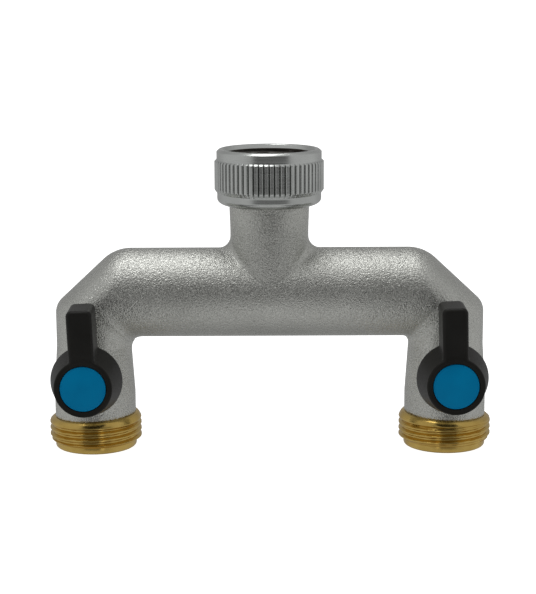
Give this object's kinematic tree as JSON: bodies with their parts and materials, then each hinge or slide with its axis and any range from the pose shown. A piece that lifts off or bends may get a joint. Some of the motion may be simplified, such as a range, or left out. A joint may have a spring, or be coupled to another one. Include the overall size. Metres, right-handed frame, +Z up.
{
  "type": "hose splitter",
  "caption": "Garden hose splitter: knurled swivel inlet nut on a cast tube with two legs, each with a quarter-turn ball valve and a threaded outlet.",
  "frame": {"origin": "on the inlet axis, at the upper face of the inlet washer, where a tap's end seals", "axes": "+Z up out of the inlet along the nut's axis, +X along the horizontal tube towards the right-hand outlet seen from the handles, -Y towards the handles"},
  "size_m": [0.1274, 0.0457, 0.086],
  "materials": {
    "cast_nickel": "matte",
    "turned_nickel": "satin",
    "outlet_brass": "satin",
    "stem_brass": "satin",
    "chrome_ball": "polished",
    "steel": "satin",
    "ptfe": "satin",
    "black_rubber": "matte",
    "washer_rubber": "matte",
    "black_plastic": "satin",
    "blue_plastic": "satin"
  },
  "bodies": {
    "manifold": {"manifold_body": "cast_nickel", "retaining_ring": "steel", "inlet_washer": "washer_rubber", "left_thrust_washer": "ptfe", "left_upper_seat": "ptfe", "left_lower_seat": "ptfe", "left_outlet_tail": "outlet_brass", "left_outlet_oring": "black_rubber", "right_thrust_washer": "ptfe", "right_upper_seat": "ptfe", "right_lower_seat": "ptfe", "right_outlet_tail": "outlet_brass", "right_outlet_oring": "black_rubber"},
    "inlet_nut": {"swivel_nut": "turned_nickel"},
    "left_valve": {"left_ball": "chrome_ball", "left_stem": "stem_brass", "left_stem_orings": "black_rubber", "left_handle": "black_plastic", "left_handle_screw": "steel", "left_screw_washer": "steel", "left_handle_cap": "blue_plastic"},
    "right_valve": {"right_ball": "chrome_ball", "right_stem": "stem_brass", "right_stem_orings": "black_rubber", "right_handle": "black_plastic", "right_handle_screw": "steel", "right_screw_washer": "steel", "right_handle_cap": "blue_plastic"}
  },
  "joints": [
    {"name": "inlet_nut_spin", "type": "hinge", "parent": "manifold", "child": "inlet_nut", "pos_m": [0, 0, 0], "axis": [0, 0, 1], "continuous": true},
    {"name": "left_valve_turn", "type": "hinge", "parent": "manifold", "child": "left_valve", "pos_m": [-0.0505, 0, -0.054], "axis": [0, 1, 0], "range_deg": [0, 93]},
    {"name": "right_valve_turn", "type": "hinge", "parent": "manifold", "child": "right_valve", "pos_m": [0.0505, 0, -0.054], "axis": [0, 1, 0], "range_deg": [0, 93]}
  ]
}
